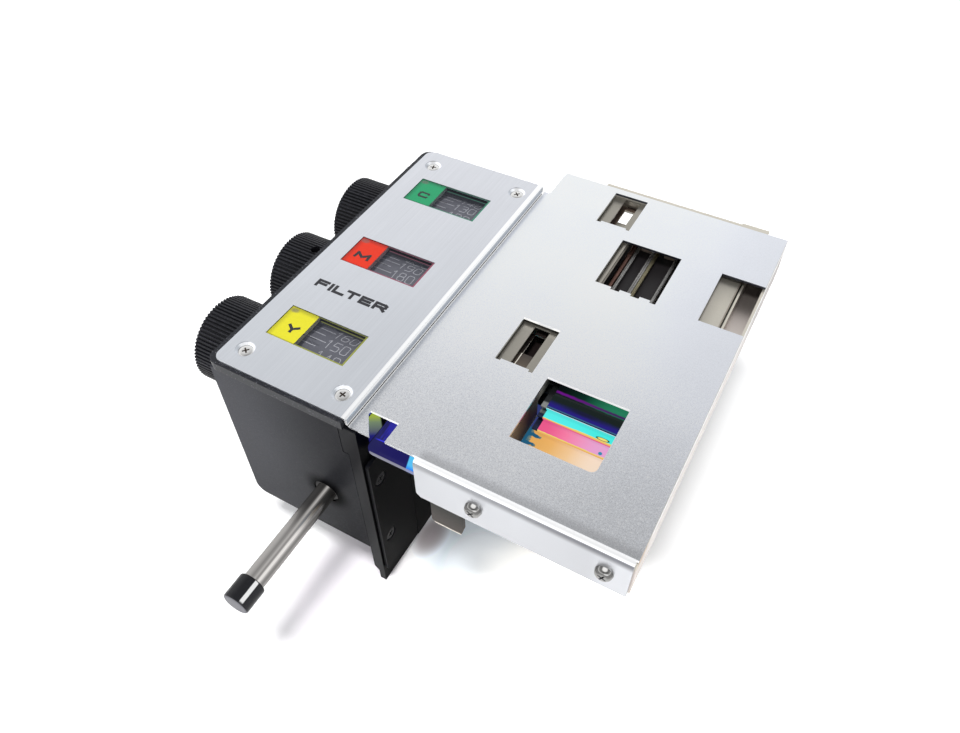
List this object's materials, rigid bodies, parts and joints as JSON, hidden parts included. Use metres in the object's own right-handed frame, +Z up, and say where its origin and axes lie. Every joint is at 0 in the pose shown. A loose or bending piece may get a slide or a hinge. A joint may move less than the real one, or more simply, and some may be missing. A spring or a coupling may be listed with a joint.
{
  "type": "enlarger colour filter module",
  "caption": "Colour filter module for a photo enlarger head: dial box with ribbed knobs and drum scales, push rod, and a flat tray of dichroic filter panes.",
  "frame": {"origin": "point on the side plate's flat +X seating face, half way along the box and 45.5 mm above the plate's lower edge", "axes": "+X from the knobs towards the filter tray, +Y away from the user, +Z up"},
  "size_m": [0.1801, 0.2148, 0.1055],
  "materials": {
    "housing": "fine textured",
    "rim": "textured semi gloss",
    "plate": "satin black",
    "knob": "moulded black",
    "cap": "gloss black",
    "alu": "brushed along Y",
    "cover": "fine sparkle lacquer",
    "nickel": "nickel plated",
    "steel": "polished",
    "spring": "wire",
    "drum": "matt grey",
    "brass": "machined",
    "acrylic": "clear",
    "lab_c": "smooth",
    "lab_m": "smooth",
    "lab_y": "smooth",
    "gl_c": "dichroic coating",
    "gl_m": "dichroic coating",
    "gl_y": "dichroic coating",
    "gl_h": "heat reflecting coating"
  },
  "bodies": {
    "base": {"housing": "housing", "rim_frame": "rim", "escutcheon": "alu", "escutcheon_screw_1": "steel", "escutcheon_screw_2": "steel", "escutcheon_screw_3": "steel", "escutcheon_screw_4": "steel", "label_c": "lab_c", "label_m": "lab_m", "label_y": "lab_y", "window_c": "acrylic", "window_m": "acrylic", "window_y": "acrylic", "side_plate": "plate", "doubler_plate": "plate", "doubler_screw_1": "plate", "doubler_screw_2": "plate", "tray_cover": "cover", "cover_screw_1": "steel", "cover_screw_2": "steel", "tray_chassis": "nickel", "chassis_screw_1": "steel", "chassis_screw_2": "steel", "guide_plate": "nickel", "edge_panel": "nickel", "well_wall": "nickel", "heat_glass": "gl_h", "light_baffle": "plate", "tray_spring_1": "spring", "tray_spring_2": "spring", "tray_spring_3": "spring", "rod_bush": "plate", "rack_rest": "brass"},
    "white_light_rod": {"rod": "steel", "rod_cap": "cap", "push_bar": "steel"},
    "cyan_dial": {"knob_c": "knob", "grub_screw_c": "steel", "shaft_c": "steel", "drum_c": "drum", "pinion_c": "brass"},
    "cyan_rack": {"rack_c": "steel"},
    "cyan_slider": {"slider_c": "plate", "filter_c": "gl_c"},
    "magenta_dial": {"knob_m": "knob", "grub_screw_m": "steel", "shaft_m": "steel", "drum_m": "drum", "pinion_m": "brass"},
    "magenta_rack": {"rack_m": "steel"},
    "magenta_slider": {"slider_m": "plate", "filter_m": "gl_m"},
    "yellow_dial": {"knob_y": "knob", "grub_screw_y": "steel", "shaft_y": "steel", "drum_y": "drum", "pinion_y": "brass"},
    "yellow_rack": {"rack_y": "steel"},
    "yellow_slider": {"slider_y": "plate", "filter_y": "gl_y"}
  },
  "joints": [
    {"name": "white_light_push", "type": "slide", "parent": "base", "child": "white_light_rod", "axis": [0, 1, 0], "range_m": [0, 0.024]},
    {"name": "cyan_knob_turn", "type": "hinge", "parent": "base", "child": "cyan_dial", "pos_m": [-0.045, 0.0441, 0.034], "axis": [1, 0, 0], "range_deg": [-199.97, 117.44]},
    {"name": "cyan_rack_slide", "type": "slide", "parent": "base", "child": "cyan_rack", "axis": [0, 1, 0], "range_m": [-0.0083, 0.01406]},
    {"name": "cyan_slider_push", "type": "slide", "parent": "cyan_rack", "child": "cyan_slider", "axis": [0, 1, 0], "range_m": [0, 0.024]},
    {"name": "magenta_knob_turn", "type": "hinge", "parent": "base", "child": "magenta_dial", "pos_m": [-0.045, 0, 0.034], "axis": [1, 0, 0], "range_deg": [-288.85, 28.57]},
    {"name": "magenta_rack_slide", "type": "slide", "parent": "base", "child": "magenta_rack", "axis": [0, 1, 0], "range_m": [-0.00209, 0.02027]},
    {"name": "magenta_slider_push", "type": "slide", "parent": "magenta_rack", "child": "magenta_slider", "axis": [0, 1, 0], "range_m": [0, 0.024]},
    {"name": "yellow_knob_turn", "type": "hinge", "parent": "base", "child": "yellow_dial", "pos_m": [-0.045, -0.0442, 0.034], "axis": [1, 0, 0], "range_deg": [-234.89, 82.53]},
    {"name": "yellow_rack_slide", "type": "slide", "parent": "base", "child": "yellow_rack", "axis": [0, 1, 0], "range_m": [-0.00586, 0.0165]},
    {"name": "yellow_slider_push", "type": "slide", "parent": "yellow_rack", "child": "yellow_slider", "axis": [0, 1, 0], "range_m": [0, 0.024]}
  ],
  "couplings": [
    {"joint": "cyan_rack_slide", "follows": "cyan_knob_turn", "m_per_rad": -0.004},
    {"joint": "cyan_slider_push", "follows": "white_light_push", "ratio": 1},
    {"joint": "magenta_rack_slide", "follows": "magenta_knob_turn", "m_per_rad": -0.004},
    {"joint": "magenta_slider_push", "follows": "white_light_push", "ratio": 1},
    {"joint": "yellow_rack_slide", "follows": "yellow_knob_turn", "m_per_rad": -0.004},
    {"joint": "yellow_slider_push", "follows": "white_light_push", "ratio": 1}
  ]
}
